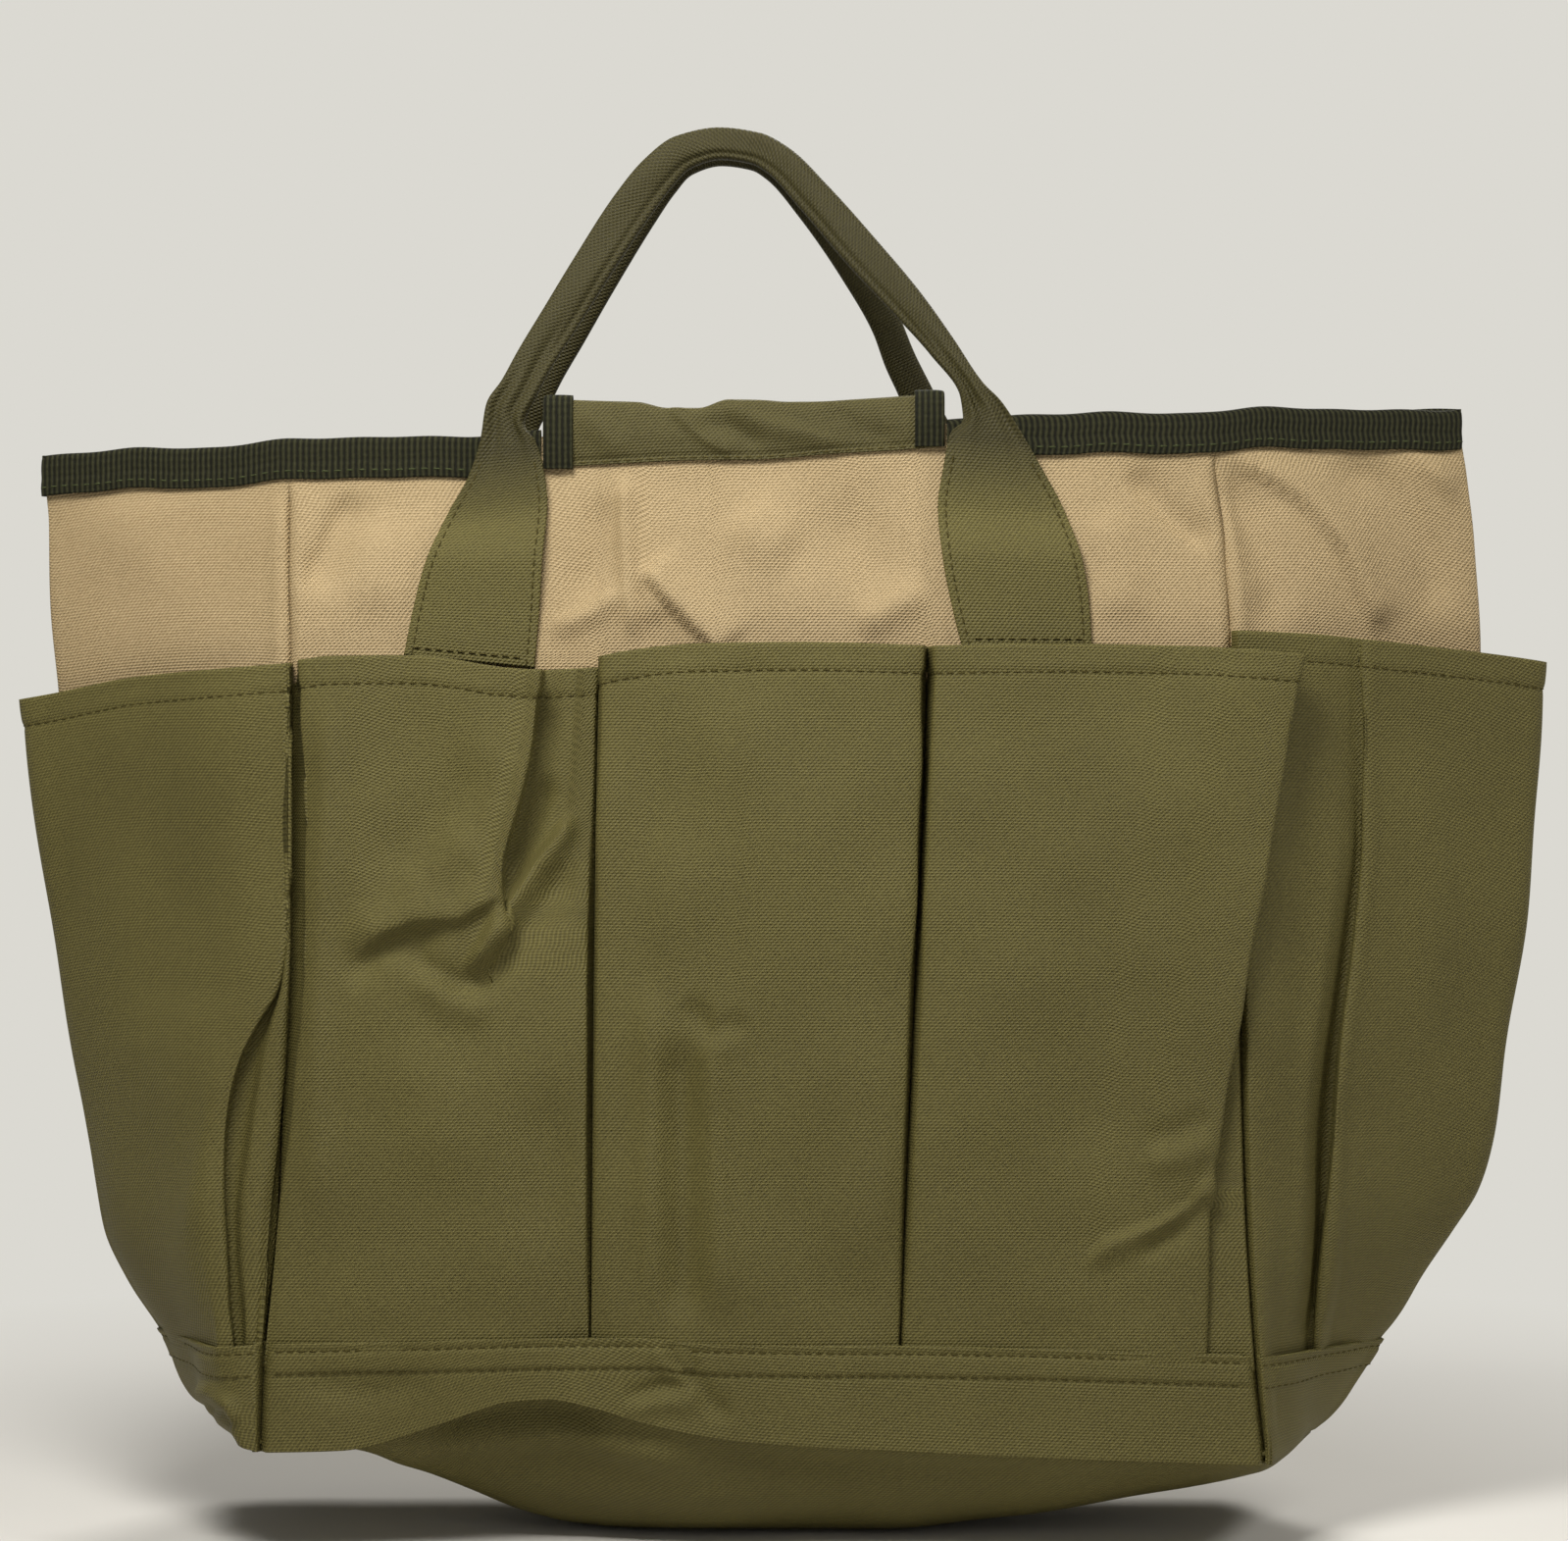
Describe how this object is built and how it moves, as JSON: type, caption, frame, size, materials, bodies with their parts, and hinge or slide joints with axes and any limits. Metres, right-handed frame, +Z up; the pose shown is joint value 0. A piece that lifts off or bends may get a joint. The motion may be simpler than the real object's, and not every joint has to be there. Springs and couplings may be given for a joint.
{
  "type": "garden tool bag",
  "caption": "Soft cloth tool bag with gusseted sides, pockets all round, a bound rim, a tuck-in closing flap and a pair of folded strap handles.",
  "frame": {"origin": "on the ground, below the middle of the bag", "axes": "+X to the right seen from the front, +Y to the back, +Z up; the front looks along -Y"},
  "size_m": [0.4526, 0.0996, 0.413],
  "materials": {
    "tan_cloth": "coarse twill, matte",
    "olive_cloth": "coarse twill with a slight sheen",
    "webbing": "ribbed webbing, matte",
    "hook_and_loop": "hook and loop pile"
  },
  "bodies": {
    "bag": {"front_panel": "tan_cloth", "back_panel": "tan_cloth", "left_gusset": "tan_cloth", "right_gusset": "tan_cloth", "base_panel": "olive_cloth", "front_lower_band": "olive_cloth", "back_lower_band": "olive_cloth", "left_lower_band": "olive_cloth", "right_lower_band": "olive_cloth", "front_pocket_left": "olive_cloth", "front_pocket_centre": "olive_cloth", "front_pocket_right": "olive_cloth", "back_pocket_left": "olive_cloth", "back_pocket_centre": "olive_cloth", "back_pocket_right": "olive_cloth", "left_pocket": "olive_cloth", "right_pocket": "olive_cloth", "left_rim_binding": "webbing", "right_rim_binding": "webbing", "back_rim_binding": "webbing", "front_handle_left_tab": "olive_cloth", "front_handle_right_tab": "olive_cloth", "back_handle_left_tab": "olive_cloth", "back_handle_right_tab": "olive_cloth", "flap_root": "olive_cloth", "flap_root_left_binding": "webbing", "flap_root_right_binding": "webbing", "back_loop_strip": "hook_and_loop"},
    "front_handle": {"front_handle_loop": "olive_cloth"},
    "back_handle": {"back_handle_loop": "olive_cloth"},
    "flap": {"flap_tongue": "olive_cloth", "flap_tongue_left_binding": "webbing", "flap_tongue_right_binding": "webbing", "flap_tongue_end_binding": "webbing", "flap_hook_strip": "hook_and_loop"}
  },
  "joints": [
    {"name": "front_handle_swing", "type": "hinge", "parent": "bag", "child": "front_handle", "pos_m": [0, -0.0267, 0.3224], "axis": [0.9995, 0, 0.0332], "range_deg": [0, 150]},
    {"name": "back_handle_swing", "type": "hinge", "parent": "bag", "child": "back_handle", "pos_m": [0, 0.0267, 0.3224], "axis": [-0.9995, 0, -0.0332], "range_deg": [0, 150]},
    {"name": "flap_fold", "type": "hinge", "parent": "bag", "child": "flap", "pos_m": [0, -0.0237, 0.3319], "axis": [0.9995, 0, 0.0332], "range_deg": [0, 100]}
  ]
}
